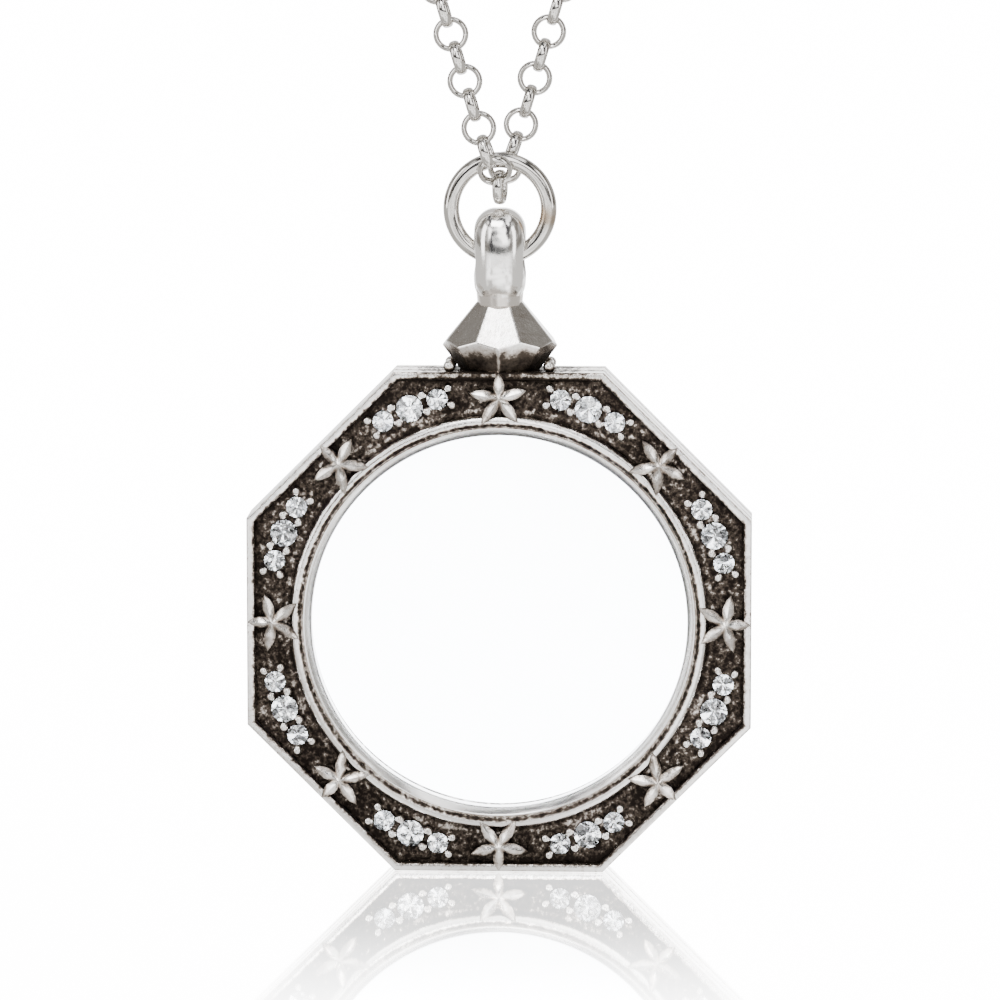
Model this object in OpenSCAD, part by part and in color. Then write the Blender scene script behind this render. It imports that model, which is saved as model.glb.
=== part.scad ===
/* [Frame] */
// Thickness of the frame from front to back
frame_t = 6.4; // [5.4:0.1:8]
// Width of the bright rim along the outer edge
outer_rim_w = 0.85; // [0.5:0.05:1.2]
// Width of the sunk channel at the middle of a side
channel_w = 3.45; // [3.35:0.05:4.5]
// Depth of the sunk channel below the outer rim
channel_depth = 0.8; // [0.5:0.05:1.1]
// Width of the raised round rim beside the bezel
inner_rim_w = 1.3; // [0.9:0.05:1.6]
// Width of each groove that runs round the side wall
groove_w = 0.25; // [0.15:0.05:0.4]
// Depth of each groove that runs round the side wall
groove_depth = 0.2; // [0.1:0.05:0.4]
// Distance of each side groove from the nearer face
groove_inset = 1.7; // [1:0.1:2.2]

/* [Lens] */
// Diameter of the clear opening in front of and behind the lens
opening_d = 37.6; // [34:0.2:42]
// How far the lens reaches under the bezel and over the back ledge
lens_overlap = 0.5; // [0.3:0.05:0.6]
// Thickness of the lens at its edge
lens_edge_t = 1.6; // [1.2:0.1:2]
// Rise of each lens face from its edge to its middle
lens_rise = 1.6; // [0.8:0.1:2.2]
// Width of the bezel ring around the clear opening
bezel_w = 0.8; // [0.7:0.05:1]
// How far the bezel's inner edge lies below its outer edge
bezel_slope = 0.7; // [0.3:0.05:0.9]
// Clearance between pieces that are fitted together
fit = 0.05; // [0.03:0.01:0.08]

/* [Stars] */
// Length of the longest star arm
star_arm = 3.2; // [2.6:0.1:3.4]
// Greatest width of a star arm
star_arm_w = 1.15; // [0.7:0.05:1.3]
// Height of the star's ridges above the channel floor
star_h = 1.35; // [1:0.05:1.6]

/* [Crystals] */
// Diameter of the middle crystal in each group
large_stone_d = 2.7; // [2.2:0.05:2.8]
// Diameter of the outer crystals in each group
small_stone_d = 2.1; // [1.6:0.05:2.2]
// Gap between the inner rim and the middle crystal of a group
stone_inset = 1; // [0.8:0.05:1.2]
// Gap between neighbouring crystals
stone_gap = 0.52; // [0.45:0.01:0.6]
// Height of each crystal's widest part above the channel floor
girdle_h = 0.3; // [0.15:0.05:0.4]
// Diameter of the bead prongs
prong_d = 0.9; // [0.7:0.05:1]
// Half the spread of a pair of prongs across the channel
prong_spread = 0.88; // [0.7:0.02:1]

/* [Finial] */
// Width of the faceted cap across its widest flats
cap_w = 10.6; // [9.5:0.1:12]
// Depth of the cap as a share of its width
cap_depth_share = 0.74; // [0.7:0.02:0.8]
// Height of the cap above the frame
cap_h = 6.8; // [6:0.1:8]
// Height of the cap's widest part above the frame
girdle_z = 3; // [2.4:0.1:3.4]
// Width of the cap's flat top
cap_top_w = 4.5; // [4.2:0.1:5.4]
// Width of the cap's foot on the frame
cap_foot_w = 7.4; // [6.8:0.1:7.5]
// Diameter of the four grains at the cap's foot
grain_d = 1.2; // [0.8:0.05:1.3]
// Width of the eye above the cap, along the hole
eye_w = 5.1; // [4.6:0.1:5.4]
// Height of the eye above the cap
eye_h = 9.35; // [9:0.05:10]
// Depth of the eye from front to back
eye_depth = 6.8; // [6:0.1:7.4]
// Diameter of the hole through the eye
eye_hole_d = 3; // [2.9:0.05:3.2]
// Height of the hole's middle above the cap
eye_hole_z = 4.23; // [4.1:0.01:4.4]

/* [Large ring] */
// Outer diameter of the large ring
ring_od = 11.3; // [11:0.1:12]
// Thickness of the large ring's wire
ring_wire = 1.6; // [1.3:0.05:1.7]

/* [Chain] */
// Outer diameter of a chain link
link_od = 3.5; // [3.48:0.01:3.52]
// Thickness of a link, measured across its radius
link_t = 0.42; // [0.38:0.01:0.44]
// Width of a link along its axis
link_w = 1; // [0.8:0.05:1.1]
// Spacing of the links
link_pitch = 2.4; // [2.36:0.01:2.42]
// Radius of the loop where it goes round the neck
neck_r = 58; // [50:1:58]
// Angle of each straight strand from the vertical
strand_angle = 16.6; // [15:0.2:20]

/* [Clasp] */
// Diameter of the clasp's barrel
clasp_d = 3.4; // [3:0.1:4.5]
// Length of the clasp's barrel
clasp_l = 9; // [8:0.5:14]

/* [Hidden] */
STONES = 24;
$fn = 96;

SILVER = "silver";
POLISHED = "gainsboro";
GLASS = "aliceblue";

// How deep a fused piece is sunk into the one that carries it
sink = 0.3;
// How far a cutter runs past the face it cuts
past = 1;

// The face frame has X to the right, Y up and Z towards the viewer, with its origin in the lens's middle
SIDES = 8;
corner_turn = 360 / SIDES;
side_turn = corner_turn / 2;
front_z = frame_t / 2;
floor_z = front_z - channel_depth;
opening_r = opening_d / 2;
bore_r = opening_r + bezel_w + fit;
inner_rim_r = opening_r + bezel_w + inner_rim_w;
apothem = inner_rim_r + channel_w + outer_rim_w;
frame_flats = 2 * apothem;

lens_r = opening_r + lens_overlap;
lens_edge_z = lens_edge_t / 2;
lens_sphere_r = (lens_r * lens_r + lens_rise * lens_rise) / (2 * lens_rise);
lens_centre_z = lens_edge_z + lens_rise - lens_sphere_r;
lens_at_opening_z = lens_centre_z + sqrt(pow(lens_sphere_r, 2) - pow(opening_r, 2));
ledge_z = -lens_at_opening_z - fit;
// The bezel's outer edge lies a little below the crown of the inner rim
bezel_drop = 0.25;
bezel_edge_z = front_z - bezel_drop;
bezel_land = 0.15 * bezel_w;

// Stone proportions as shares of the diameter
table_share = 0.56;
crown_share = 0.17;
girdle_share = 0.05;
pavilion_share = 0.36;
culet_share = 0.12;
SMALL_LARGE_SMALL = [-1, 0, 1];
// The crystals lie on a circle, and each outer one is turned from the middle one of its group
stone_r = inner_rim_r + stone_inset + large_stone_d / 2;
stone_step_l = large_stone_d / 2 + stone_gap + small_stone_d / 2;
stone_step = 2 * asin(stone_step_l / (2 * stone_r));
// Height of a prong's middle above the channel floor, and its place beyond the last stone's edge
prong_rise = prong_d / 4;
prong_reach = 0.3 * prong_d;

// A star's middle lies in the middle of the channel
star_r = inner_rim_r + channel_w / 2;
// Star arms, one row each: angle from the arm that points outwards, length as a share of star_arm
star_arms = [[0, 0.78], [80, 0.94], [147, 1], [218, 0.97], [286, 0.9]];
ARM_ANGLE = 0;
ARM_LENGTH = 1;
// Leaf sections: shares of the arm's length and width, ridge height and edge height as shares of star_h
leaf = [[0.3, 0.8, 0.97, 0.35], [0.62, 1, 0.9, 0.5]];
LEAF_ALONG = 0;
LEAF_WIDTH = 1;
LEAF_RIDGE = 2;
LEAF_EDGE = 3;
star_core_share = 0.13;
// A tip lies on the rims, this far above them
tip_proud = 0.12;

// The finial stands on the frame's top side, in a frame with Z up
cap_slope = (cap_w - cap_top_w) / (cap_h - girdle_z);
girdle_corner_w = cap_w / cos(side_turn);
foot_slope = (girdle_corner_w - cap_foot_w) / girdle_z;
foot_r = cap_foot_w / 2 / cos(side_turn);
grain_x = foot_r + 0.8 * grain_d;
grain_y = 0.3 * frame_t;
grain_z = 0.4 * grain_d;
eye_dome = 0.43 * eye_w;
eye_foot_d = 0.88 * eye_w;
eye_flare = 0.6;
eye_hole_top = cap_h + eye_hole_z;

// The large ring
ring_r = ring_od / 2 - ring_wire / 2;
ring_inner_r = ring_od / 2 - ring_wire;

// One strand of the chain runs straight up from the lowest links, then round the neck to the clasp
link_r = link_od / 2 - link_t / 2;
// The links that carry the large ring, from the lowest one: place [x, y, z] and direction of the axis
LINK_PLACE = 0;
LINK_AXIS = 1;
low_links = [
    [[0, 0, 0], [1, -0.143, 0]],
    [[-0.44, -1.47, 1.79], [-0.107, 0.832, 0.544]],
    [[-1.24, -2.48, 3.73], [0.941, -0.077, 0.33]]];
strand_start = [-1.99, -2.39, 6.03];
strand_l = (neck_r * cos(strand_angle) + strand_start.x) / sin(strand_angle);
clasp_eye_x = clasp_l / 2 + link_od / 2 - link_t + sink / 3;
clasp_turn = asin(clasp_eye_x / neck_r);
clasp_z = neck_r * cos(clasp_turn) - neck_r;
arc_turn = 90 + strand_angle - clasp_turn;
path_l = strand_l + neck_r * arc_turn * PI / 180;
strand_links = floor(path_l / link_pitch);
strand_pitch = path_l / strand_links;
low_z = -neck_r * (1 + sin(strand_angle)) - strand_l * cos(strand_angle) - strand_start.z;

// The large ring's wire lies on the lowest link, and the pendant hangs from the ring
ring_gap = 0.15;
ring_z = low_z + link_od / 2 + ring_gap + ring_wire / 2 - ring_r;
eye_mouth_x = eye_w / 2 - eye_flare;
eye_z = ring_z - sqrt(pow(ring_inner_r, 2) - pow(eye_mouth_x, 2)) + fit - eye_hole_d / 2;
frame_z = eye_z - eye_hole_top - apothem;

// Points on an arc, for an outline
function arc(centre, r, from, to, steps) =
    [for (i = [0:steps]) let (a = from + (to - from) * i / steps) centre + r * [cos(a), sin(a)]];

module octagon(across) {
    rotate(side_turn) circle(d = across / cos(side_turn), $fn = SIDES);
}

module face_frame() {
    translate([0, 0, frame_z]) rotate([90, 0, 0]) children();
}

// The casting, without the finial

module side_grooves() {
    for (z = [front_z - groove_inset, groove_w + groove_inset - front_z])
        translate([0, 0, z - groove_w]) linear_extrude(groove_w) difference() {
            octagon(frame_flats + 2 * past);
            octagon(frame_flats - 2 * groove_depth);
        }
}

module channel_cut() {
    translate([0, 0, floor_z]) linear_extrude(channel_depth + past) difference() {
        octagon(frame_flats - 2 * outer_rim_w);
        circle(r = inner_rim_r);
    }
}

// Cuts the inner rim's top to a half-round
module rim_rounding() {
    rim_round = inner_rim_w / 2;
    middle = [inner_rim_r - rim_round, front_z - rim_round];
    rotate_extrude() polygon(concat(
        arc(middle, rim_round, 0, 180, 12),
        [[middle.x - rim_round, front_z + past], [middle.x + rim_round, front_z + past]]));
}

module lens_hole() {
    translate([0, 0, ledge_z]) cylinder(r = bore_r, h = frame_t);
    translate([0, 0, -frame_t]) cylinder(r = opening_r, h = frame_t);
    translate([0, 0, -front_z]) cylinder(r1 = bore_r, r2 = opening_r, h = bezel_w);
}

module casting_body() {
    difference() {
        translate([0, 0, -front_z]) linear_extrude(frame_t) octagon(frame_flats);
        side_grooves();
        channel_cut();
        lens_hole();
        rim_rounding();
    }
}

// A star is one closed form: a middle, a roof of two slopes on each arm, upright sides and a flat foot

function turned(a, along, across, z) =
    [along * cos(a) - across * sin(a), along * sin(a) + across * cos(a), z];

function star_outline() = [
    for (k = [0:len(star_arms) - 1])
        let (arm = star_arms[k], a = arm[ARM_ANGLE], l = arm[ARM_LENGTH] * star_arm,
            before = k == 0 ? star_arms[len(star_arms) - 1][ARM_ANGLE] - 360 : star_arms[k - 1][ARM_ANGLE],
            valley = (a + before) / 2, w = star_arm_w / 2)
        each [
            turned(valley, star_core_share * star_arm, 0, leaf[0][LEAF_EDGE] * star_h),
            turned(a, leaf[0][LEAF_ALONG] * l, -leaf[0][LEAF_WIDTH] * w, leaf[0][LEAF_EDGE] * star_h),
            turned(a, leaf[1][LEAF_ALONG] * l, -leaf[1][LEAF_WIDTH] * w, leaf[1][LEAF_EDGE] * star_h),
            turned(a, l, 0, channel_depth + tip_proud),
            turned(a, leaf[1][LEAF_ALONG] * l, leaf[1][LEAF_WIDTH] * w, leaf[1][LEAF_EDGE] * star_h),
            turned(a, leaf[0][LEAF_ALONG] * l, leaf[0][LEAF_WIDTH] * w, leaf[0][LEAF_EDGE] * star_h)]];

function star_ridges() = [
    for (arm = star_arms) each [
        for (row = leaf) turned(arm[ARM_ANGLE], row[LEAF_ALONG] * arm[ARM_LENGTH] * star_arm, 0,
            row[LEAF_RIDGE] * star_h)]];

module star() {
    outline = star_outline();
    foot = [for (p = outline) [p.x, p.y, -sink]];
    n = len(outline);
    ridge_0 = 2 * n;
    middle = ridge_0 + 2 * len(star_arms);
    roof = [for (k = [0:len(star_arms) - 1])
        let (v = 6 * k, next = (v + 6) % n, near = ridge_0 + 2 * k, far = near + 1)
        each [
            [middle, v + 1, v], [middle, near, v + 1],
            [near, v + 2, v + 1], [near, far, v + 2], [far, v + 3, v + 2],
            [far, v + 4, v + 3], [near, v + 4, far], [near, v + 5, v + 4],
            [middle, v + 5, near], [middle, next, v + 5]]];
    sides = [for (i = [0:n - 1]) let (j = (i + 1) % n) each [[i, j, n + j], [i, n + j, n + i]]];
    base = [[for (i = [0:n - 1]) n + i]];
    polyhedron(concat(outline, foot, star_ridges(), [[0, 0, star_h]]), concat(roof, sides, base));
}

module stars() {
    for (side = [0:SIDES - 1]) rotate(corner_turn * side) translate([star_r, 0, floor_z]) star();
}

// Crystals and their beads

function stone_place(i) = SMALL_LARGE_SMALL[(i - 1) % 3];
function stone_angle(i) = side_turn + corner_turn * floor((i - 1) / 3) + stone_place(i) * stone_step;
function stone_d(i) = stone_place(i) == 0 ? large_stone_d : small_stone_d;

module at_stone(i) {
    rotate(stone_angle(i)) translate([stone_r, 0, floor_z + girdle_h]) children();
}

module crystal(d) {
    thin = 0.01;
    hull() {
        translate([0, 0, crown_share * d - thin]) cylinder(d = table_share * d, h = thin, $fn = 8);
        translate([0, 0, -girdle_share * d]) cylinder(d = d, h = girdle_share * d, $fn = 12);
        translate([0, 0, -(girdle_share + pavilion_share) * d])
            cylinder(d = culet_share * d, h = thin, $fn = 8);
    }
}

module stone_seat(d) {
    translate([0, 0, -girdle_share * d - fit]) cylinder(d = d + 2 * fit, h = channel_depth + past);
    translate([0, 0, -(girdle_share + pavilion_share) * d - 2 * fit])
        cylinder(d1 = culet_share * d + 2 * fit, d2 = d + 2 * fit, h = pavilion_share * d + fit);
}

module prong_pair(angle) {
    for (side = [-1, 1])
        rotate(angle) translate([stone_r + side * prong_spread, 0, floor_z + prong_rise]) sphere(d = prong_d);
}

module prongs() {
    junction = stone_step * (large_stone_d + stone_gap) / (2 * stone_step_l);
    end = stone_step + stone_step * (small_stone_d / 2 + prong_reach) / stone_step_l;
    for (corner = [0:SIDES - 1], angle = [-end, -junction, junction, end])
        prong_pair(side_turn + corner_turn * corner + angle);
}

// The finial: cap, eye and grains

module squashed_octagon(across, turn) {
    scale([1, cap_depth_share]) rotate(turn) circle(d = across / cos(side_turn), $fn = SIDES);
}

// The cap's lower facets are turned half a facet from the upper ones, so its widest edge runs in a zigzag
module cap() {
    upper_w = cap_w + cap_slope * (girdle_z + sink);
    lower_w = cap_foot_w - foot_slope * sink;
    lower_top_w = cap_foot_w + foot_slope * cap_h;
    translate([0, 0, -sink]) intersection() {
        linear_extrude(cap_h + sink, scale = cap_top_w / upper_w)
            squashed_octagon(upper_w, side_turn);
        linear_extrude(cap_h + sink, scale = lower_top_w / lower_w) squashed_octagon(lower_w, 0);
    }
}

module eye_disc() {
    r = eye_depth / 2;
    rotate([0, 90, 0]) rotate_extrude($fn = 36) polygon(concat(
        [[0, -eye_w / 2]],
        arc([r - eye_dome, eye_dome - eye_w / 2], eye_dome, -90, 0, 5),
        arc([r - eye_dome, eye_w / 2 - eye_dome], eye_dome, 0, 90, 5),
        [[0, eye_w / 2]]));
}

module eye() {
    difference() {
        hull() {
            translate([0, 0, cap_h + eye_h - eye_depth / 2]) eye_disc();
            translate([0, 0, cap_h + eye_depth / 2 - sink]) eye_disc();
            translate([0, 0, cap_h - sink]) cylinder(d = eye_foot_d, h = sink, $fn = 32);
        }
        translate([0, 0, eye_hole_top]) rotate([0, 90, 0]) {
            cylinder(d = eye_hole_d, h = eye_w + 2 * past, center = true);
            for (side = [0, 180]) rotate([side, 0, 0]) translate([0, 0, eye_mouth_x])
                cylinder(d1 = eye_hole_d, d2 = eye_hole_d + 4 * eye_flare, h = 2 * eye_flare);
        }
    }
}

module grains() {
    for (x = [-grain_x, grain_x], y = [-grain_y, grain_y])
        translate([x, y, grain_z]) sphere(d = grain_d);
}

module frame() {
    color(SILVER) {
        face_frame() difference() {
            union() {
                casting_body();
                stars();
                prongs();
            }
            for (i = [1:STONES]) at_stone(i) stone_seat(stone_d(i));
        }
        translate([0, 0, frame_z + apothem]) {
            cap();
            eye();
            grains();
        }
    }
}

module stone(i) {
    color(GLASS) face_frame() at_stone(i) crystal(stone_d(i));
}

// A ring pressed in from the front, sloped down to the lens
module lens_bezel() {
    foot_z = lens_at_opening_z + fit;
    color(POLISHED) face_frame() rotate_extrude() polygon([
        [opening_r, foot_z], [bore_r - fit, foot_z], [bore_r - fit, bezel_edge_z],
        [bore_r - fit - bezel_land, bezel_edge_z], [opening_r, bezel_edge_z - bezel_slope]]);
}

module lens() {
    color(GLASS) face_frame() intersection() {
        translate([0, 0, -lens_edge_z - lens_rise]) cylinder(r = lens_r, h = lens_edge_t + 2 * lens_rise);
        translate([0, 0, lens_centre_z]) sphere(r = lens_sphere_r, $fn = 240);
        translate([0, 0, -lens_centre_z]) sphere(r = lens_sphere_r, $fn = 240);
    }
}

module hang_ring() {
    color(POLISHED) translate([0, 0, ring_z]) rotate([90, 0, 0])
        rotate_extrude() translate([ring_r, 0]) circle(d = ring_wire);
}

// A link lies in its own XY plane, round the Z axis
module link() {
    straight = link_w - link_t;
    rotate_extrude($fn = 48) translate([link_r, 0]) {
        square([link_t, straight], center = true);
        for (side = [-1, 1]) translate([0, side * straight / 2]) circle(d = link_t, $fn = 16);
    }
}

// Turns the Z axis to a direction
module aim(axis) {
    rotate([0, acos(axis.z / norm(axis)), atan2(axis.y, axis.x)]) children();
}

function strand_place(s) = s < strand_l
    ? [strand_start.x - s * sin(strand_angle), strand_start.y * (1 - s / strand_l),
        low_z + strand_start.z + s * cos(strand_angle)]
    : let (p = 180 + strand_angle - (s - strand_l) / neck_r * 180 / PI)
        [neck_r * cos(p), 0, neck_r * sin(p) - neck_r];
function strand_heading(s) =
    s < strand_l ? strand_angle : strand_angle - (s - strand_l) / neck_r * 180 / PI;

// Link k of a strand: even ones face the viewer, odd ones stand edge-on
module strand_link(k) {
    s = k * strand_pitch;
    turn = k % 2 == 0 ? [90, 0, 0] : [0, 90, 0];
    translate(strand_place(s)) rotate([0, -strand_heading(s), 0]) rotate(turn) link();
}

module low_link(k) {
    translate(low_links[k][LINK_PLACE] + [0, 0, low_z]) aim(low_links[k][LINK_AXIS]) link();
}

module chain() {
    color(POLISHED) {
        low_link(0);
        for (side = [0, 180]) rotate(side) {
            low_link(1);
            low_link(2);
            for (k = [0:strand_links - 1]) strand_link(k);
        }
    }
}

module clasp() {
    chamfer = 0.15 * clasp_d;
    color(POLISHED) {
        translate([0, 0, clasp_z]) rotate([0, 90, 0]) rotate_extrude() polygon([
            [0, -clasp_l / 2], [clasp_d / 2 - chamfer, -clasp_l / 2], [clasp_d / 2, chamfer - clasp_l / 2],
            [clasp_d / 2, clasp_l / 2 - chamfer], [clasp_d / 2 - chamfer, clasp_l / 2], [0, clasp_l / 2]]);
        for (side = [0, 180]) rotate(side) strand_link(strand_links);
    }
}

frame();
lens_bezel();
lens();
hang_ring();
chain();
clasp();
for (i = [1:STONES]) stone(i);
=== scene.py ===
from math import asin, atan2, cos, floor, pi, radians, sin, sqrt

import bmesh
import bpy
from mathutils import Matrix, Vector, noise


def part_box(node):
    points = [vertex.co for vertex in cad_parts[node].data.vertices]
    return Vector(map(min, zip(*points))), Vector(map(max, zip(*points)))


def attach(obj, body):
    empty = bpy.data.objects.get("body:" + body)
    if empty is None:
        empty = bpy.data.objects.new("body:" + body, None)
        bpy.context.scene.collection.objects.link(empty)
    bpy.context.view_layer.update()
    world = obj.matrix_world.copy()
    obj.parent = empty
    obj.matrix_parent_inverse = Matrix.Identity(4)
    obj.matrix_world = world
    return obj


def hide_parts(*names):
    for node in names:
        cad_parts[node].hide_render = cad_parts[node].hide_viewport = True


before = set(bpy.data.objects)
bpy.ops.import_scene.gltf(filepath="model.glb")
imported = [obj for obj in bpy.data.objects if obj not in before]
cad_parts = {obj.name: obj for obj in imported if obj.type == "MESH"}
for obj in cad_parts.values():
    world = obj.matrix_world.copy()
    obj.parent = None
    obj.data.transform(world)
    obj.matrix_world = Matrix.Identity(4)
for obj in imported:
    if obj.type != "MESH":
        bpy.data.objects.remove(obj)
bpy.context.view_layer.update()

# Camera
# A long lens in front of the pendant, a little above it and to its right, so the top of the
# octagon's side wall shows and the sides run nearly parallel.
MM = 0.001
aim_above_lens = 12.0
lens_low, lens_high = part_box("lens")
pendant_z = (lens_low[2] + lens_high[2]) / 2
camera_distance = 0.6
camera_elevation = radians(8)
camera_azimuth = radians(2.5)
aim = Vector((0, 0, pendant_z + aim_above_lens * MM))
camera_data = bpy.data.cameras.new("camera")
camera_data.lens = 216
camera_data.sensor_width = 36
camera_data.clip_start = 0.01
camera = bpy.data.objects.new("camera", camera_data)
camera.location = aim + camera_distance * Vector((
    sin(camera_azimuth) * cos(camera_elevation), -cos(camera_azimuth) * cos(camera_elevation),
    sin(camera_elevation)))
camera.rotation_euler = (aim - camera.location).to_track_quat("-Z", "Y").to_euler()
bpy.context.scene.collection.objects.link(camera)
bpy.context.scene.camera = camera

# Frame casting
# One octagonal casting in zinc alloy with a round lens hole, a sunk channel between two raised
# rims, and two fine grooves round its side wall. It is plated with silver tone, darkened in the
# recesses and rubbed bright again. Lengths are in mm, measured from the lens's middle plane.
OCTAGON_SIDES = 8
side_turn = 2 * pi / OCTAGON_SIDES
apothem = 25.2
front_z = 3.2
floor_z = 2.4
bore_r = 19.65
opening_r = 18.8
ledge_z = -0.93
rim_r = 20.9
rim_round = 0.65
outer_rim_w = 0.85
groove_depth = 0.2

# The crystals' places come first, because the channel has a drilled seat under each
large_d = 2.7
small_d = 2.1
stone_count = 24
stone_r = 23.25
stone_step = radians(7.2)
stone_z = floor_z + 0.3
girdle_share = 0.05
pavilion_share = 0.36
stones = []
for number in range(stone_count):
    place_in_group = number % 3 - 1
    stone_angle = side_turn / 2 + side_turn * (number // 3) + place_in_group * stone_step
    stones.append((stone_angle, small_d if place_in_group else large_d))
upright = Matrix.Rotation(pi / 2, 4, "X")
to_metres = Matrix.Scale(MM, 4)
face_place = Matrix.Translation((0, 0, pendant_z)) @ upright @ to_metres


class Level:
    """A number or colour in a finish; sums and products of levels add Math nodes."""

    def __init__(self, finish, socket):
        self.finish = finish
        self.socket = socket

    def maths(self, operation, first, second):
        return self.finish.add("ShaderNodeMath", {"operation": operation}, {0: first, 1: second})

    def __add__(self, other):
        return self.maths("ADD", self, other)

    def __radd__(self, other):
        return self.maths("ADD", other, self)

    def __sub__(self, other):
        return self.maths("SUBTRACT", self, other)

    def __rsub__(self, other):
        return self.maths("SUBTRACT", other, self)

    def __mul__(self, other):
        return self.maths("MULTIPLY", self, other)

    def __rmul__(self, other):
        return self.maths("MULTIPLY", other, self)

    def __truediv__(self, other):
        return self.maths("DIVIDE", self, other)


class Finish:
    """A material in the making: add makes one node and gives back its output."""

    def __init__(self, name, coordinates="Object"):
        room = coordinates == "Generated"
        self.material = (bpy.data.worlds if room else bpy.data.materials).new(name)
        self.material.use_nodes = True
        self.tree = self.material.node_tree
        self.tree.nodes.clear()
        self.place = self.add("ShaderNodeTexCoord", {}, {}, coordinates)

    def add(self, kind, settings, sockets, output=0):
        node = self.tree.nodes.new(kind)
        for name, value in settings.items():
            if name == "stops":
                ramp = node.color_ramp
                while len(ramp.elements) < len(value):
                    ramp.elements.new(1)
                for element, (position, colour) in zip(ramp.elements, value):
                    element.position = position
                    element.color = (*colour, 1)
            else:
                setattr(node, name, value)
        for key, value in sockets.items():
            if isinstance(value, Level):
                self.tree.links.new(value.socket, node.inputs[key])
            else:
                node.inputs[key].default_value = value
        return Level(self, node.outputs[output]) if node.outputs else None

    def grain(self, size, detail=3.0, roughness=0.55):
        return self.add("ShaderNodeTexNoise", {}, {
            "Vector": self.place, "Scale": 1 / (size * MM), "Detail": detail, "Roughness": roughness})

    def clamped(self, level, low, high):
        return self.add("ShaderNodeMapRange", {"interpolation_type": "SMOOTHSTEP"}, {
            "Value": level, "From Min": low, "From Max": high})

    def mixed(self, share, first, second):
        return self.add("ShaderNodeMix", {"data_type": "RGBA"}, {0: share, 6: first, 7: second}, 2)

    def bump(self, height, depth, strength=1.0):
        return self.add("ShaderNodeBump", {}, {
            "Height": height, "Strength": strength, "Distance": depth * MM}, "Normal")

    def axis(self, name):
        return self.add("ShaderNodeSeparateXYZ", {}, {0: self.place}, name)

    def close(self, shader, kind="ShaderNodeOutputMaterial"):
        self.add(kind, {}, {"Surface": shader})
        return self.material


# The plating's colours, from rubbed bright to the deepest recess; the darkest also colour painted
# shade
SILVER = (0.9, 0.88, 0.855, 1)
STAIN = (0.43, 0.375, 0.33, 1)
BROWN = (0.06, 0.047, 0.037, 1)
OXIDE_AND_SHADE = (0.012, 0.009, 0.0075, 1)


def antiqued_silver(name, recess, speckle=2.2, relief=0.6):
    """Cast plated metal, dark where the mask of patina and painted shade nears 1, rubbed bright below
    0.
    """
    finish = Finish(name)
    fine = finish.grain(0.42, 4.0, 0.7)
    coarse = finish.grain(1.6, 3.0)
    pits = finish.grain(0.16, 2.0)
    waves = finish.grain(1.5, 2.0, 0.4)
    edge = recess(finish) + (fine - 0.5) * speckle + (coarse - 0.5) * 1.1
    dark = finish.clamped(edge, 0.6, 1.0)
    brown = finish.clamped(edge, 0.3, 0.62)
    stain = finish.clamped(edge, -0.25, 0.5)
    worn = finish.mixed(stain, SILVER, STAIN)
    colour = finish.mixed(dark, finish.mixed(brown, worn, BROWN), OXIDE_AND_SHADE)
    rough = 0.12 + brown * 0.3 + stain * 0.1
    normal = finish.bump(waves * 1.4 + fine * 0.9 + pits * 0.35, 0.06, relief)
    shader = finish.add("ShaderNodeBsdfPrincipled", {}, {
        "Base Color": colour, "Metallic": 1.0, "Roughness": rough, "Normal": normal})
    return finish.close(shader)


def set_piece(form, name, place, finishes, body, slot, *nodes, sharp=35):
    """Closes a form, moves it to its place, gives it its finish and fixes it on its body."""
    bmesh.ops.remove_doubles(form, verts=form.verts, dist=0.0005)
    bmesh.ops.recalc_face_normals(form, faces=form.faces)
    bmesh.ops.transform(form, matrix=place, verts=form.verts)
    mesh = bpy.data.meshes.new(name)
    form.to_mesh(mesh)
    form.free()
    mesh.shade_smooth()
    mesh.set_sharp_from_angle(angle=radians(sharp))
    for finish in finishes:
        mesh.materials.append(finish)
    piece = bpy.data.objects.new(name, mesh)
    bpy.context.scene.collection.objects.link(piece)
    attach(piece, body)
    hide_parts(*nodes)
    return piece


def to_side(angle, reach):
    """Distance from the middle to the octagon of that apothem, in one direction."""
    return reach / cos((angle + side_turn / 2) % side_turn - side_turn / 2)


# Each row is one loop round the casting: radius of its circle, apothem of its octagon, share of the
# octagon, height, how dark it is, and how far its grain moves it
CIRCLE, OCTAGON, SHARE, HEIGHT, DARK, ROUGH = range(6)

# The inner rim is half a round, from the bezel's groove over the crest to the channel
# Its dark line on the slope towards the bezel is painted shade of the groove; the crest is rubbed
# bright, and the side towards the channel darkens with patina.
rim_middle = rim_r - rim_round
rim_patina_and_shade = (0.0, 0.0, 0.15, 0.65, 0.85, 0.55, -0.3, -0.5, -0.4, 0.05, 0.45, 0.6, 0.65)
rim_turns = [pi * i / (len(rim_patina_and_shade) - 1) for i in range(len(rim_patina_and_shade))]
inner_rim = [(rim_middle - rim_round * cos(turn), apothem, 0,
              front_z - rim_round + rim_round * sin(turn), dark, 0.02)
             for turn, dark in zip(rim_turns, rim_patina_and_shade)]

# The channel runs from the circle to the octagon: share of the way and how dark it is
rim_in = apothem - outer_rim_w
channel_darks = (
    (0, 0.9), (0.04, 0.85), (0.1, 0.62), (0.14, 0.6), (0.2, 0.85), (0.27, 0.78), (0.34, 0.78),
    (0.42, 0.78), (0.5, 0.78), (0.58, 0.78), (0.67, 0.78), (0.75, 0.78), (0.83, 0.78), (0.9, 0.85),
    (0.96, 0.95), (1, 1))
channel = [(rim_r + 0.03, rim_in, share, floor_z, dark, 0.2) for share, dark in channel_darks]

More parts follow.
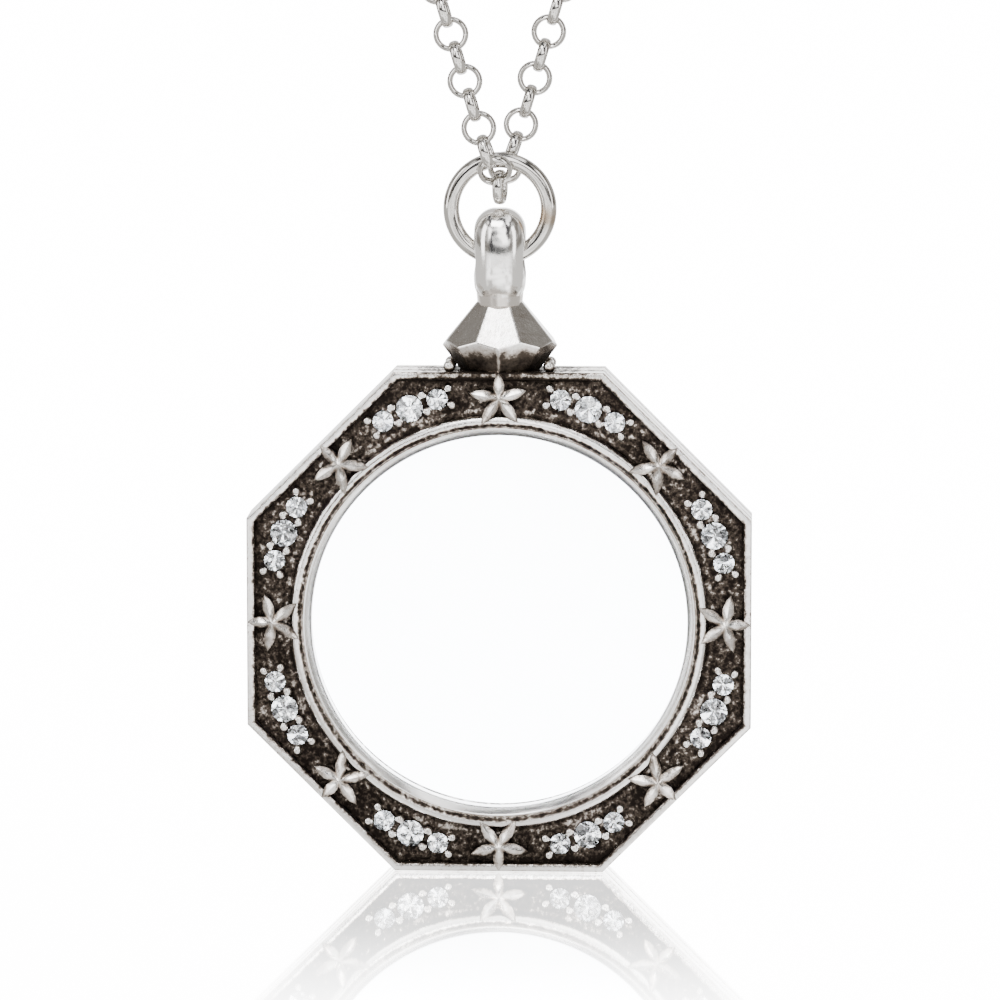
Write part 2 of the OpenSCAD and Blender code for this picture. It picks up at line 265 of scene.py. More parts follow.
# The outer rim: apothem of the loop, depth below the front, darkness and grain
outer_rim = [(0, reach, 1, front_z - depth, dark, rough) for reach, depth, dark, rough in (
    (rim_in + 0.02, 0.5, 0.75, 0.05), (rim_in + 0.05, 0.18, 0.55, 0.05),
    (rim_in + 0.12, 0.05, 0.55, 0.04), (rim_in + 0.24, 0, 0.3, 0.03), (rim_in + 0.42, 0, -0.25, 0.02),
    (apothem - 0.24, 0, -0.4, 0.02), (apothem - 0.12, 0.02, 0.0, 0.02),
    (apothem - 0.03, 0.08, 0.2, 0.01), (apothem, 0.2, -0.4, 0.004))]

# One groove's loops: share of its depth, height from its middle and darkness, then the whole wall
groove_from_front = 1.825
groove_z = front_z - groove_from_front
groove = [(0, 0.21, -0.1), (0.1, 0.13, 0.4), (1, 0.07, 0.9), (1, -0.07, 0.9), (0.1, -0.13, 0.4),
          (0, -0.21, -0.1)]
wall_rows = [(0, front_z - 0.9, -0.2), *[(cut, groove_z + z, dark) for cut, z, dark in groove],
             (0, 0, -0.2), *[(cut, z - groove_z, dark) for cut, z, dark in groove],
             (0, 0.9 - front_z, -0.2), (0, 0.2 - front_z, -0.1), (0.15, 0.08 - front_z, 0),
             (0.6, 0.02 - front_z, 0)]
wall = [(0, apothem - groove_depth * cut, 1, z, dark, 0.004) for cut, z, dark in wall_rows]
back = [(bore_r, apothem - 0.24, share, -front_z, -0.2, 0.03) for share in (1, 0.8, 0.6, 0.4, 0.2, 0)]
ledge = (bore_r, apothem, 0, ledge_z, 0.7, 0)
bore = [(opening_r + 0.1, apothem, 0, 0.7 - front_z, 0.3, 0),
        (opening_r, apothem, 0, 0.85 - front_z, 0.3, 0),
        (opening_r, apothem, 0, ledge_z, 0.5, 0), ledge]
casting_rows = [ledge, *inner_rim, *channel, *outer_rim, *wall, *back, *bore]
AROUND = 960
seat_gap_share = 0.04
seat_slope = 1.12 * pavilion_share
near_cap_darkening_r = 13.0
near_cap_darkening = 1.3
GRAINS_PER_MM = (1.9, 4.2)


def seat_height(spot):
    """Height of the drilled seat under a crystal, or that of its girdle where there is none."""
    height = stone_z
    for angle, d in stones:
        middle = Vector((stone_r * cos(angle), stone_r * sin(angle), spot.z))
        off = (spot - middle).length / (d / 2)
        if off < 1:
            height = stone_z - (girdle_share + seat_gap_share + seat_slope * (1 - off)) * d
    return height


def lay_loop(verts, row, dark_layer):
    """Moves a loop to its row. The front and wall are darker near the finial."""
    for vert in verts:
        angle = atan2(vert.co.y, vert.co.x)
        reach = row[CIRCLE] * (1 - row[SHARE]) + to_side(angle, row[OCTAGON]) * row[SHARE]
        spot = Vector((reach * cos(angle), reach * sin(angle), row[HEIGHT]))
        lift = sum(noise.noise(spot * per_mm) for per_mm in GRAINS_PER_MM) / 2
        vert.co = spot + Vector((0, 0, lift * row[ROUGH]))
        if row[HEIGHT] == floor_z:
            vert.co.z = min(vert.co.z, seat_height(spot))
        from_cap = (spot - Vector((0, apothem, 0))).length / near_cap_darkening_r
        on_outer_faces = row[SHARE] == 1 and row[HEIGHT] > -front_z
        vert[dark_layer] = row[DARK] + (near_cap_darkening * max(0, 1 - from_cap) if on_outer_faces else 0)


casting = bmesh.new()
dark_layer = casting.verts.layers.float.new("recess")
bmesh.ops.create_circle(casting, segments=AROUND, radius=bore_r)
lay_loop(casting.verts, casting_rows[0], dark_layer)
loop_edges = casting.edges[:]
for row in casting_rows[1:]:
    grown = bmesh.ops.extrude_edge_only(casting, edges=loop_edges)["geom"]
    loop_edges = [part for part in grown if isinstance(part, bmesh.types.BMEdge)]
    lay_loop([part for part in grown if isinstance(part, bmesh.types.BMVert)], row, dark_layer)


# The casting's darkness per vertex: patina, and painted shade in the line on the inner rim
def vertex_patina_and_shade(finish):
    return finish.add("ShaderNodeAttribute", {"attribute_name": "recess"}, {}, "Fac")


casting_finish = antiqued_silver("antiqued_silver_casting", vertex_patina_and_shade)
set_piece(casting, "casting_body", face_place, [casting_finish], "pendant", "antiqued_silver", "frame")

# Stars
# Eight five-pointed stars cast in relief across the channel, in one with the casting. Each arm is a
# leaf with a ridge along its middle, and its tip reaches up to the rims.
star_r = 22.625
star_arm = 3.2
star_arm_w = 1.15
star_foot = -0.2
ridge_round = 1.15

# Each arm's direction in degrees and the share of its full length
star_arms = [(0, 0.78), (80, 0.94), (147, 1), (218, 0.97), (286, 0.9)]

# Along the arm: share of its length, share of its width, ridge height and edge height
leaf = [(0, 0.5, 1.35, 0.85), (0.28, 0.88, 1.31, 0.85), (0.52, 1, 1.25, 0.85),
        (0.8, 0.62, 1.1, 0.85), (1, 0.03, 0.92, 0.86)]


def leaf_at(share):
    """Width share, ridge height and edge height of the leaf at a share of its length."""
    for low, high in zip(leaf, leaf[1:]):
        if share <= high[0]:
            step = (share - low[0]) / (high[0] - low[0])
            return [a + (b - a) * step for a, b in zip(low[1:], high[1:])]
    return leaf[-1][1:]


stars = bmesh.new()
for side in range(OCTAGON_SIDES):
    for arm_angle, arm_length in star_arms:
        verts = bmesh.ops.create_grid(stars, x_segments=14, y_segments=6, size=1)["verts"]
        for vert in verts:
            share = (vert.co.x + 1) / 2
            width, ridge, edge = leaf_at(share)
            across = vert.co.y
            vert.co = Vector((share * arm_length * star_arm, across * width * star_arm_w / 2,
                              edge + (ridge - edge) * (1 - abs(across) ** ridge_round)))
        faces = list({face for vert in verts for face in vert.link_faces})
        grown = bmesh.ops.extrude_face_region(stars, geom=faces, use_keep_orig=True)["geom"]
        foot = [part for part in grown if isinstance(part, bmesh.types.BMVert)]
        for vert in foot:
            vert.co.z = star_foot
        arm_place = (Matrix.Rotation(side * side_turn, 4, "Z")
                     @ Matrix.Translation((star_r, 0, floor_z))
                     @ Matrix.Rotation(radians(arm_angle), 4, "Z"))
        bmesh.ops.transform(stars, matrix=arm_place, verts=verts + foot)


def by_height(low, high):
    """Recess by height towards the front: dark at low and bright at high."""
    def recess(finish):
        height = finish.axis("Y") * -1 / MM
        return (high - height) / (high - low)
    return recess


star_finish = antiqued_silver(
    "antiqued_silver_star", by_height(floor_z + 0.4, floor_z + 1.25), speckle=0.9, relief=0.3)
set_piece(stars, "stars", face_place, [star_finish], "pendant", "antiqued_silver", "frame", sharp=24)

# Crystals
# Eight groups of three round crystals, small, large, small, set in the channel between the stars.
# They are clear cut glass with a mirror foil behind, and lie with their tables forward.
table_share = 0.56
crown_share = 0.17
crown_star_share = 0.8
pavilion_ring_share = 0.56
culet_share = 0.1
CROWN, FOIL = 0, 1
# Painted reflections: the foil's facets are painted lit, dim and dark in a set order round each stone,
# for the sparkle of lit and shaded facets; only facets near the point are painted dark.
PAINTED_LIT, PAINTED_DIM, PAINTED_DARK = range(3)
PAINTED_SPARKLE_ORDER = (PAINTED_LIT, PAINTED_DARK, PAINTED_DIM, PAINTED_LIT, PAINTED_DIM, PAINTED_LIT, PAINTED_DARK)
painted_dark_reach = 0.33
facet_uneven = 0.07

WHITE = (1, 1, 1, 1)
clear = Finish("clear_crystal")
crystal_finish = clear.close(clear.add("ShaderNodeBsdfPrincipled", {}, {
    "Base Color": WHITE, "Roughness": 0.0, "IOR": 1.58, "Transmission Weight": 1.0}))


# One mirror foil at a painted level of brightness, a painted reflection of a lit or shaded facet
def painted_foil_finish(name, painted_level):
    foil = Finish(name)
    cloud = foil.clamped(foil.grain(0.5), 0.35, 0.65)
    tint = foil.mixed(cloud, (painted_level, painted_level, painted_level, 1), (0.9 * painted_level, 0.93 * painted_level, 0.97 * painted_level, 1))
    return foil.close(foil.add("ShaderNodeBsdfPrincipled", {}, {
        "Base Color": tint, "Roughness": 0.12, "Metallic": 1.0}))


painted_foil_finishes = [painted_foil_finish("crystal_foil_painted_lit", 0.74), painted_foil_finish("crystal_foil_painted_dim", 0.14),
                 painted_foil_finish("crystal_foil_painted_dark", 0.02)]


def ring_of(form, count, reach, height, turn=0.0):
    place = Matrix.Translation((0, 0, height)) @ Matrix.Rotation(turn, 4, "Z")
    bmesh.ops.create_circle(form, segments=count, radius=reach, matrix=place)


def cut_stone(d, turn):
    """A brilliant cut of diameter d: rings of corners from the table to the point, then its hull."""
    stone = bmesh.new()
    half_facet = pi / 8
    pavilion_ring_z = -(girdle_share + 0.5 * pavilion_share) * d
    ring_of(stone, 8, table_share * d / 2, crown_share * d, half_facet)
    ring_of(stone, 8, crown_star_share * d / 2, 0.6 * crown_share * d)
    ring_of(stone, 16, d / 2, 0, half_facet / 2)
    ring_of(stone, 16, d / 2, -girdle_share * d, half_facet / 2)
    ring_of(stone, 16, pavilion_ring_share * d / 2, pavilion_ring_z, half_facet)
    ring_of(stone, 8, culet_share * d / 2, -(girdle_share + pavilion_share) * d)
    for vert in stone.verts:
        if vert.co.z < -0.1 * d:
            vert.co *= 1 + facet_uneven * noise.noise(vert.co * 9 + Vector((d, 0, 0)))
    bmesh.ops.convex_hull(stone, input=stone.verts)
    bmesh.ops.dissolve_limit(stone, angle_limit=radians(0.5), verts=stone.verts, edges=stone.edges)
    # Crown facets stay clear; back facets get a painted foil level in turn, as painted reflections
    for face in stone.faces:
        face.normal_update()
        middle = face.calc_center_median()
        sector = int((atan2(middle.y, middle.x) / pi + 1) * 16)
        depth_step = 3 * int(-middle.z / d * 12)
        face.material_index = CROWN
        if face.normal.z < -0.2:
            painted_shade = PAINTED_SPARKLE_ORDER[(sector * 5 + depth_step + turn) % len(PAINTED_SPARKLE_ORDER)]
            near_point = middle.xy.length <= painted_dark_reach * d
            face.material_index = FOIL + (painted_shade if near_point else min(painted_shade, PAINTED_DIM))
    return stone


for number, (angle, d) in enumerate(stones, 1):
    crystal = cut_stone(d, number)
    seat = face_place @ Matrix.Rotation(angle, 4, "Z") @ Matrix.Translation((stone_r, 0, stone_z))
    set_piece(crystal, f"crystal_{number}", seat, [crystal_finish, *painted_foil_finishes], "pendant",
              "crystal", f"stone_{number}", sharp=1)

# Bead prongs
# Pairs of small beads at the ends of each group and between its crystals. They are cast with the
# frame and pressed over the crystals' edges to hold them down.
prong_d = 0.9
prong_spread = 0.88

# Along the group from its middle: the step between crystals in mm, then the angles of the joint
# between two crystals and of the place just past the outer one
group_step = 2 * stone_r * sin(stone_step / 2)
junction = stone_step * (large_d + group_step - small_d / 2 - large_d / 2) / (2 * group_step)
group_end = stone_step + stone_step * (small_d / 2 + 0.3 * prong_d) / group_step
beads = bmesh.new()
for corner in range(OCTAGON_SIDES):
    for along in (-group_end, -junction, junction, group_end):
        for side in (-1, 1):
            turn = Matrix.Rotation(side_turn * (corner + 0.5) + along, 4, "Z")
            spot = Matrix.Translation((stone_r + side * prong_spread, 0, floor_z + prong_d / 4))
            bmesh.ops.create_uvsphere(
                beads, u_segments=16, v_segments=10, radius=prong_d / 2, matrix=turn @ spot)
bead_finish = antiqued_silver(
    "antiqued_silver_bead", by_height(floor_z - 0.1, floor_z + 0.62), speckle=0.9, relief=0.25)
set_piece(beads, "bead_prongs", face_place, [bead_finish], "pendant", "antiqued_silver", "frame")

# Finial cap
# A faceted cap, cast in the same alloy and soldered on the octagon's top side. Eight satin facets
# slope up to a flat top, and darkened ones slope in to the foot, turned half a facet, so its widest
# edge runs in a zigzag.
cap_w = 10.6
cap_depth_share = 0.74
cap_h = 6.8
girdle_z = 3.0
cap_top_w = 4.5
cap_foot_w = 7.4
sink = 0.3
half_corner = cos(pi / 8)
top_place = Matrix.Translation((0, 0, pendant_z + apothem * MM)) @ to_metres
cap_slope = (cap_w - cap_top_w) / (cap_h - girdle_z)
foot_slope = (cap_w / half_corner - cap_foot_w) / girdle_z
cap = bmesh.new()
bmesh.ops.create_cone(
    cap, cap_ends=True, segments=8, radius1=(cap_w + cap_slope * (girdle_z + sink)) / 2 / half_corner,
    radius2=cap_top_w / 2 / half_corner, depth=cap_h + sink,
    matrix=Matrix.Translation((0, 0, (cap_h - sink) / 2)) @ Matrix.Rotation(pi / 8, 4, "Z"))
for facet in range(8):
    angle = pi / 8 + facet * pi / 4
    cut = bmesh.ops.bisect_plane(
        cap, geom=cap.verts[:] + cap.edges[:] + cap.faces[:], clear_outer=True,
        plane_co=Vector((cos(angle), sin(angle), 0)) * cap_foot_w / 2,
        plane_no=Vector((cos(angle), sin(angle), -foot_slope / 2)))["geom_cut"]
    cut_edges = [part for part in cut if isinstance(part, bmesh.types.BMEdge)]
    bmesh.ops.contextual_create(cap, geom=cut_edges)
bmesh.ops.scale(cap, vec=(1, cap_depth_share, 1), verts=cap.verts)
bmesh.ops.bevel(
    cap, geom=cap.edges[:], offset=0.12, segments=2, profile=0.5, affect="EDGES", material=-1)


def above_frame(finish):
    """Height above the octagon's top side in mm."""
    return finish.axis("Z") / MM - (pendant_z / MM + apothem)


def under_cap(finish):
    """Dark under the widest edge, with the middle ridge in front and behind rubbed bright."""
    height = above_frame(finish)
    to_right = finish.clamped(finish.axis("X") / MM, 0.3, 0.0)
    ridge = to_right * finish.clamped(finish.axis("X") / MM, -0.3, 0.0)
    return finish.clamped(height, 3.3, 0.9) * 0.9 - 0.1 - ridge * 0.4


cap_finish = antiqued_silver("antiqued_silver_cap", under_cap, speckle=0.7, relief=0.25)
set_piece(cap, "finial_cap", top_place, [cap_finish], "pendant", "antiqued_silver", "frame", sharp=5)

# Eye
# A thick rounded loop, cast in one with the cap on a short stem and polished smooth. It is drilled
# from side to side, with a flared mouth where the large ring runs through it.
eye_w = 5.1
eye_h = 9.35
eye_depth = 6.8
eye_hole_r = 1.5
eye_hole_z = 4.23
eye_dome = 0.43 * eye_w
eye_flare = 0.6
eye_round = 2.4
flare_start = 1.6
flare_end = 1.9
stem_foot_r = 2.24
stem_top_r = 2.42
stem_h = 2.1
stem_lift = 0.75
stem_spread = 1.2
YELLOWED = (0.3, 0.22, 0.15, 1)


def eye_reach(angle):
    """Distance from the hole's middle to the eye's outline in a side view; angle 0 points up."""
    tall = eye_h - eye_hole_z if cos(angle) > 0 else eye_hole_z + sink
    deep_share = (abs(sin(angle)) * 2 / eye_depth) ** eye_round
    tall_share = (abs(cos(angle)) / tall) ** eye_round
    return (deep_share + tall_share) ** (-1 / eye_round)


def lay_eye_loop(verts, share, x):
    """Share 0 lies in the hole's wall at x; others run from the mouth to the outline on its side."""
    for vert in verts:
        angle = atan2(vert.co.y, vert.co.z)
        reach, x_here = eye_hole_r, x
        if share > 0:
            mouth = eye_hole_r + eye_flare
            outline = eye_reach(angle)
            reach = mouth + (outline - mouth) * sin(share * pi / 2)
            into_dome = max(0, reach - (outline - eye_dome)) / eye_dome
            half_w = eye_w / 2 - eye_dome * (1 - sqrt(max(0, 1 - into_dome ** 2)))
            x_here = half_w if x > 0 else -half_w
        vert.co = Vector((x_here, reach * sin(angle), reach * cos(angle)))


# The loops run through the hole to the right, over the right side to the outline, and back to the
# hole over the left side
eye_shares = [step / 14 + 0.001 for step in range(14)]
eye_loops = [(0, -flare_start), (0, 0), (0, flare_start), (0, flare_end),
             *[(share, 1) for share in eye_shares], (1, 1),
             *[(share, -1) for share in reversed(eye_shares)], (0, -flare_end), (0, -flare_start)]
eye = bmesh.new()
bmesh.ops.create_circle(eye, segments=96, radius=1, matrix=Matrix.Rotation(pi / 2, 4, "Y"))
lay_eye_loop(eye.verts, *eye_loops[0])
loop_edges = eye.edges[:]
for share, x in eye_loops[1:]:
    grown = bmesh.ops.extrude_edge_only(eye, edges=loop_edges)["geom"]
    loop_edges = [part for part in grown if isinstance(part, bmesh.types.BMEdge)]
    lay_eye_loop([part for part in grown if isinstance(part, bmesh.types.BMVert)], share, x)
stem = bmesh.ops.create_cone(
    eye, cap_ends=True, segments=64, radius1=stem_foot_r, radius2=stem_top_r, depth=stem_h,
    matrix=Matrix.Translation((0, 0, stem_lift - eye_hole_z)))["verts"]
for vert in stem:
    if vert.co.z > stem_lift - eye_hole_z:
        vert.co.y *= stem_spread


def polished_silver(name, tarnish_and_reflection=None, satin=0.0, colour=SILVER):
    """Bright plated metal with fine rubbing marks, yellowed a little where tarnish and painted
    reflection near 1.
    """
    finish = Finish(name)
    marks = finish.grain(0.35, 4.0, 0.6)
    waves = finish.grain(2.4, 2.0)
    rough = 0.04 + satin + marks * 0.1
    if tarnish_and_reflection:
        spot = tarnish_and_reflection(finish)
        colour = finish.mixed(spot, colour, YELLOWED)
        rough = rough + spot * 0.2
    normal = finish.bump(waves * 0.8 + marks * 0.2, 0.04, 0.5)
    shader = finish.add("ShaderNodeBsdfPrincipled", {}, {
        "Base Color": colour, "Metallic": 1.0, "Roughness": rough, "Normal": normal})
    return finish.close(shader)


# Tarnish at the solder seam and a painted reflection of the cap's top: yellowed and darker just above
# the cap, in uneven patches.
def seam_tarnish_and_cap_reflection(finish):
    above_cap = above_frame(finish) - cap_h
    return finish.clamped(above_cap + (finish.grain(0.9) - 0.5) * 5.0, 1.7, 0.9) * 0.45


eye_place = top_place @ Matrix.Translation((0, 0, cap_h + eye_hole_z))
eye_finish = polished_silver("satin_eye", seam_tarnish_and_cap_reflection, satin=0.04)
set_piece(eye, "finial_eye", eye_place, [eye_finish], "pendant", "antiqued_silver", "frame", sharp=60)

# Grains
# Four small balls of the same alloy, soldered on the octagon's top side beside the cap's foot, two
# in front and two behind.
grain_d = 1.2
grain_x = cap_foot_w / 2 / half_corner + 0.8 * grain_d
grain_y = 0.3 * 2 * front_z
grains = bmesh.new()
for x in (-grain_x, grain_x):
    for y in (-grain_y, grain_y):
        bmesh.ops.create_uvsphere(grains, u_segments=24, v_segments=14, radius=grain_d / 2,
                                  matrix=Matrix.Translation((x, y, 0.4 * grain_d)))


def grain_foot(finish):
    return finish.clamped(above_frame(finish), 0.6, 0.0)


grain_finish = antiqued_silver("antiqued_silver_grain", grain_foot, speckle=0.4)
set_piece(grains, "foot_grains", top_place, [grain_finish], "pendant", "antiqued_silver", "frame")

# Bezel
# A thin ring of plated brass, turned, polished and pressed in from the front. It slopes down to the
# lens and holds it on its ledge.
bezel_w = 0.8
bezel_foot = 0.93
bezel_top = front_z - 0.25

# Up the slope, over the top and to the outside: distance from the opening and depth below the top
bezel_face = [(0, 0.77), (0.04, 0.7), (0.3, 0.42), (0.62, 0.07), (0.7, 0.01), (0.76, 0.01),
              (bezel_w, 0.05)]
bezel_profile = [(opening_r, bezel_foot),
                 *[(opening_r + out, bezel_top - depth) for out, depth in bezel_face],
                 (opening_r + bezel_w, bezel_foot)]


def turned_form(profile, steps, closed=True):
    """A form spun round the Z axis from points of radius and height."""
    form = bmesh.new()
    verts = [form.verts.new((reach, 0, height)) for reach, height in profile]
    pairs = list(zip(verts, verts[1:])) + ([(verts[-1], verts[0])] if closed else [])
    edges = [form.edges.new(pair) for pair in pairs]
    bmesh.ops.spin(form, geom=verts + edges, cent=(0, 0, 0), axis=(0, 0, 1), angle=2 * pi,
                   steps=steps, use_merge=True)
    return form


bezel_finish = polished_silver("satin_bezel", satin=0.1)
set_piece(turned_form(bezel_profile, 320), "bezel_ring", face_place, [bezel_finish], "pendant",
          "polished_silver", "lens_bezel", sharp=50)

# Lens
# A clear glass lens, ground round on both faces. It lies on the casting's ledge, under the bezel,
# and magnifies what is behind the pendant.
lens_r = 19.3
lens_edge_half = 0.8
lens_rise = 1.6
lens_curve = (lens_r ** 2 + lens_rise ** 2) / (2 * lens_rise)
lens_curve_z = lens_edge_half + lens_rise - lens_curve
lens_steps = [lens_r * i / 24 for i in range(25)]
front_face = [(reach, lens_curve_z + sqrt(lens_curve ** 2 - reach ** 2)) for reach in lens_steps]
back_face = [(reach, -height) for reach, height in reversed(front_face)]
glass = Finish("lens_glass")
glass_finish = glass.close(glass.add("ShaderNodeBsdfPrincipled", {}, {
    "Base Color": (0.9, 0.935, 0.98, 1), "Roughness": 0.0, "IOR": 1.5, "Transmission Weight": 1.0}))
lens_form = turned_form(front_face + back_face, 256, closed=False)
set_piece(lens_form, "magnifying_lens", face_place, [glass_finish], "pendant", "lens_glass", "lens",
          sharp=50)

# Large ring
# A thick round ring of plated brass wire through the eye, carried by the chain's lowest link. It is
# closed with solder on the right, where it has yellowed.
GREYED = (0.58, 0.56, 0.53, 1)
ring_low, ring_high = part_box("hang_ring")
ring_z = (ring_low[2] + ring_high[2]) / 2
ring_wire = 1.6
ring_r = (ring_high[0] - ring_low[0]) / 2 / MM - ring_wire / 2
wire_turns = [2 * pi * i / 28 for i in range(28)]
wire_profile = [(ring_r + ring_wire / 2 * cos(turn), ring_wire / 2 * sin(turn)) for turn in wire_turns]
ring_place = Matrix.Translation((0, 0, ring_z)) @ upright @ to_metres
solder_place = (4.6 * MM, 0, ring_z - 0.6 * MM)


def solder_spot(finish):
    offset = finish.add("ShaderNodeVectorMath", {"operation": "DISTANCE"}, {
        0: finish.place, 1: solder_place}, "Value")
    return finish.clamped(offset / MM + (finish.grain(1.2) - 0.5) * 1.6, 1.9, 0.5) * 0.9


ring_finish = polished_silver("polished_ring", solder_spot, colour=GREYED)
set_piece(turned_form(wire_profile, 160), "large_ring", ring_place, [ring_finish], "ring",
          "polished_silver", "hang_ring", sharp=60)

# Chain
# A rolo chain of round closed links in plated brass, one through the next, that runs from the large
# ring up both sides and round the neck. Two links on each side bend the strand from the lowest one.
link_r = 1.5
link_t = 0.54
link_w = 1.1
link_pitch = 2.4
neck_r = 58.0
strand_angle = radians(16.6)

# The lowest link and the two that start the left strand: how far each lies from the lowest one, and
# which way its hole faces
LOW_LINKS = [((0, 0, 0), (1, -0.143, 0)), ((-0.44, -1.47, 1.79), (-0.107, 0.832, 0.544)),
             ((-1.24, -2.48, 3.73), (0.941, -0.077, 0.33))]
strand_start = Vector((-1.99, -2.39, 6.03))

# Each strand ends at an eye of the clasp, which lies across the top of the neck's round
clasp_l = 9.0
clasp_eye_out = 1.43
clasp_eye_x = clasp_l / 2 + clasp_eye_out
clasp_turn = asin(clasp_eye_x / neck_r)
strand_l = (neck_r * cos(strand_angle) + strand_start.x) / sin(strand_angle)
path_l = strand_l + neck_r * (pi / 2 + strand_angle - clasp_turn)
strand_count = floor(path_l / link_pitch)
strand_pitch = path_l / strand_count
low_z = -neck_r * (1 + sin(strand_angle)) - strand_l * cos(strand_angle) - strand_start.z


def link_place(number):
    """Place of a link of the left strand: even links face the front, odd ones stand edge-on."""
    run = number * strand_pitch
    lean = strand_angle
    spot = Vector((strand_start.x - run * sin(strand_angle), strand_start.y * (1 - run / strand_l),
                   low_z + strand_start.z + run * cos(strand_angle)))
    if run >= strand_l:
        lean = strand_angle - (run - strand_l) / neck_r
        spot = Vector((-neck_r * cos(lean), 0, -neck_r * sin(lean) - neck_r))
    facing = Matrix.Rotation(pi / 2, 4, "Y" if number % 2 else "X")
    return Matrix.Translation(spot) @ Matrix.Rotation(-lean, 4, "Y") @ facing


# One link has few faces, because the chain has hundreds. Its Subdivision Surface rounds and shrinks
# them, so the wire and the ring start a little larger.
wire_grow = 1.16
ring_grow = 1.012
link_corners = [(1, 0.5), (1, -0.5), (0, -1), (-1, -0.5), (-1, 0.5), (0, 1)]
link_profile = [(ring_grow * (link_r + wire_grow * link_t / 2 * x), wire_grow * link_w / 2 * z)
                for x, z in link_corners]
link_form = turned_form(link_profile, 14)
link_mesh = bpy.data.meshes.new("link")
link_form.to_mesh(link_mesh)
link_form.free()


def add_link(form, place):
    before = len(form.verts)
    form.from_mesh(link_mesh)
    form.verts.ensure_lookup_table()
    bmesh.ops.transform(form, matrix=place, verts=form.verts[before:])


def low_link_place(spot, axis):
    facing = Vector(axis).to_track_quat("Z", "Y").to_matrix().to_4x4()
    return Matrix.Translation(Vector(spot) + Vector((0, 0, low_z))) @ facing


def smooth_out(piece):
    rounding = piece.modifiers.new("rounding", "SUBSURF")
    rounding.levels = rounding.render_levels = 1


half_turn = Matrix.Rotation(pi, 4, "Z")
links = bmesh.new()
add_link(links, low_link_place(*LOW_LINKS[0]))
for spot, axis in LOW_LINKS[1:]:
    add_link(links, low_link_place(spot, axis))
    add_link(links, half_turn @ low_link_place(spot, axis))
for number in range(strand_count):
    add_link(links, link_place(number))
    add_link(links, half_turn @ link_place(number))
chain_finish = polished_silver("polished_chain", colour=GREYED)
smooth_out(set_piece(links, "chain_links", to_metres, [chain_finish], "neck_chain",
                     "polished_silver", "chain", sharp=80))

# Clasp
# A plain barrel of plated brass on the nape, turned, with a groove round its middle where its two
# halves meet. A round eye soldered at each end takes the chain's last link.
clasp_r = 1.7
clasp_chamfer = 0.5
clasp_groove = 0.1
clasp_z = neck_r * cos(clasp_turn) - neck_r
right_half = [(clasp_r - clasp_groove, 0.06), (clasp_r, 0.12), (clasp_r, clasp_l / 2 - clasp_chamfer),
              (clasp_r - clasp_chamfer, clasp_l / 2), (0, clasp_l / 2)]
left_half = [(reach, -along) for reach, along in reversed(right_half)]
barrel = turned_form(left_half + right_half, 64, closed=False)
barrel_place = to_metres @ Matrix.Translation((0, 0, clasp_z)) @ Matrix.Rotation(pi / 2, 4, "Y")
set_piece(barrel, "clasp_barrel", barrel_place, [chain_finish], "neck_chain", "polished_silver",
          "clasp", sharp=25)
eyes = bmesh.new()
add_link(eyes, link_place(strand_count))
add_link(eyes, half_turn @ link_place(strand_count))
smooth_out(set_piece(eyes, "clasp_eyes", to_metres, [chain_finish], "neck_chain", "polished_silver",
                     "clasp", sharp=80))

# Light
# Soft studio light: a white sweep behind, a bright sky with dark patches above the front, dark
# sides, and two upright strips and a small panel for the highlights. The camera, also through the
# glass, sees the room as plain white.
SEEN_WHITE = 16.0
ROOM_LEVEL = 4.8


def shown_white(finish, lighting, shown):
    """Lights the metal with one shader and shows another to the camera, also through glass."""
    directly = finish.add("ShaderNodeLightPath", {}, {}, "Is Camera Ray")
    through_glass = finish.add("ShaderNodeLightPath", {}, {}, "Is Transmission Ray")
    return finish.add("ShaderNodeMixShader", {}, {0: directly + through_glass, 1: lighting, 2: shown})


studio = Finish("studio", "Generated")
across, depth, height = studio.axis("X"), studio.axis("Y"), studio.axis("Z")
front_sky = studio.add("ShaderNodeValToRGB", {"stops": [
    (0.0, (0.06, 0.06, 0.06)), (0.14, (0.06, 0.06, 0.06)), (0.24, (1, 1, 1)), (0.75, (1, 1, 1)),
    (1.0, (0.35, 0.35, 0.35))]}, {0: height})
side_share = studio.clamped(across * across, 0.16, 0.42)
sweep_share = studio.clamped(depth, 0.9, 0.98)
back_share = studio.clamped(depth, 0.2, 0.6)
uneven = studio.clamped(studio.add("ShaderNodeTexNoise", {}, {
    "Vector": studio.place, "Scale": 2.6, "Detail": 1.5, "Roughness": 0.5}), 0.46, 0.58)
patched = studio.mixed(uneven, (0.012, 0.012, 0.013, 1), front_sky)
front = studio.mixed(side_share * 0.92, patched, (0.055, 0.051, 0.046, 1))
room_grey = studio.mixed(back_share, front, (0.2, 0.196, 0.19, 1))
room_light = studio.mixed(sweep_share, room_grey, WHITE)
glow = studio.add("ShaderNodeBackground", {}, {"Color": room_light, "Strength": ROOM_LEVEL})
clean = studio.add("ShaderNodeBackground", {}, {"Color": WHITE, "Strength": SEEN_WHITE})
bpy.context.scene.world = studio.close(shown_white(studio, glow, clean), "ShaderNodeOutputWorld")

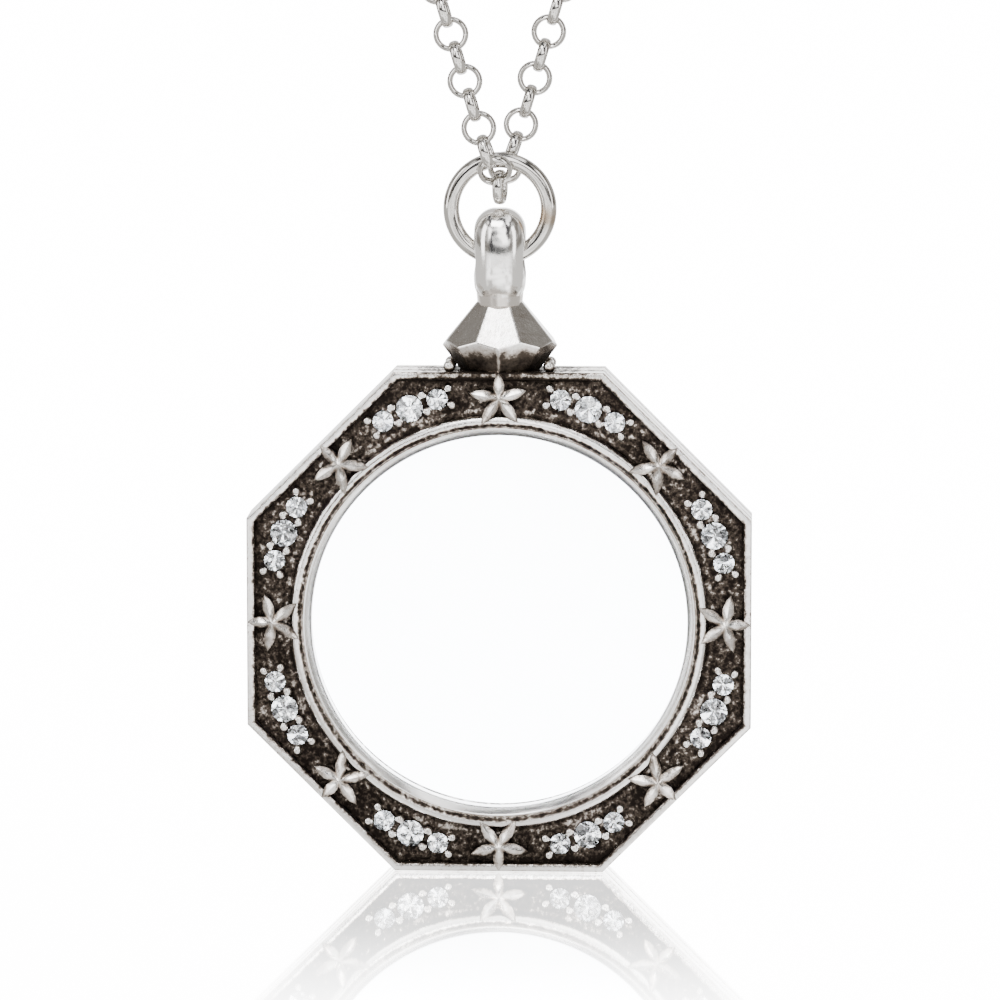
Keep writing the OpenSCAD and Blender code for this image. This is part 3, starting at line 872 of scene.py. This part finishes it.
# Floor
# A plain white glossy sheet just under the pendant, seen as white as the sweep, with a reflection
# that fades forwards. To the metal it is a softer white in uneven pools, dimmer to both sides.
floor_half = 6.0
floor_z_m = pendant_z - (apothem + 0.02) * MM
GLOSS = (3.3, 3.3, 3.3, 1)
DIM_SHEET = (0.25, 0.246, 0.238, 1)
floor_form = bmesh.new()
bmesh.ops.create_grid(floor_form, x_segments=1, y_segments=1, size=floor_half)
bmesh.ops.translate(floor_form, vec=(0, 0, floor_z_m), verts=floor_form.verts)
floor_mesh = bpy.data.meshes.new("floor")
floor_form.to_mesh(floor_mesh)
floor_form.free()
sheet = Finish("white_sheet")
sheet_front = sheet.axis("Y") / MM
gloss_share = sheet.clamped(sheet_front, -120, -20) * sheet.clamped(sheet_front, 400, 40) * 0.9
lit = sheet.add("ShaderNodeEmission", {}, {"Color": WHITE, "Strength": SEEN_WHITE})
gloss = sheet.add("ShaderNodeBsdfGlossy", {}, {"Color": GLOSS, "Roughness": 0.03})
seen_sheet = sheet.add("ShaderNodeMixShader", {}, {0: gloss_share, 1: lit, 2: gloss})
sheet_side = sheet.axis("X") / MM
turned_away = sheet_side * sheet_side / (sheet_front * sheet_front + 400)
pools = sheet.clamped(sheet.grain(70, 2.0), 0.34, 0.6) * sheet.clamped(turned_away, 2.0, 0.3)
soft_sheet = sheet.add("ShaderNodeEmission", {}, {
    "Color": sheet.mixed(pools, DIM_SHEET, WHITE), "Strength": 3.8})
floor_mesh.materials.append(sheet.close(shown_white(sheet, soft_sheet, seen_sheet)))
floor_object = bpy.data.objects.new("floor", floor_mesh)
bpy.context.scene.collection.objects.link(floor_object)


def soft_panel(name, spot, width, height, power):
    """A soft light that faces the pendant's middle."""
    panel = bpy.data.lights.new(name, "AREA")
    panel.shape = "RECTANGLE"
    panel.size = width
    panel.size_y = height
    panel.energy = power
    holder = bpy.data.objects.new(name, panel)
    holder.location = spot
    towards = Vector((0, 0, pendant_z)) - holder.location
    holder.rotation_euler = towards.to_track_quat("-Z", "Y").to_euler()
    bpy.context.scene.collection.objects.link(holder)


soft_panel("left_strip", (-0.8, -0.35, pendant_z + 0.3), width=0.3, height=0.9, power=4.0)
soft_panel("right_strip", (0.8, -0.45, pendant_z + 0.3), width=0.25, height=0.9, power=3.0)
soft_panel("top_panel", (-0.15, -0.45, pendant_z + 0.8), width=0.3, height=0.3, power=2.2)
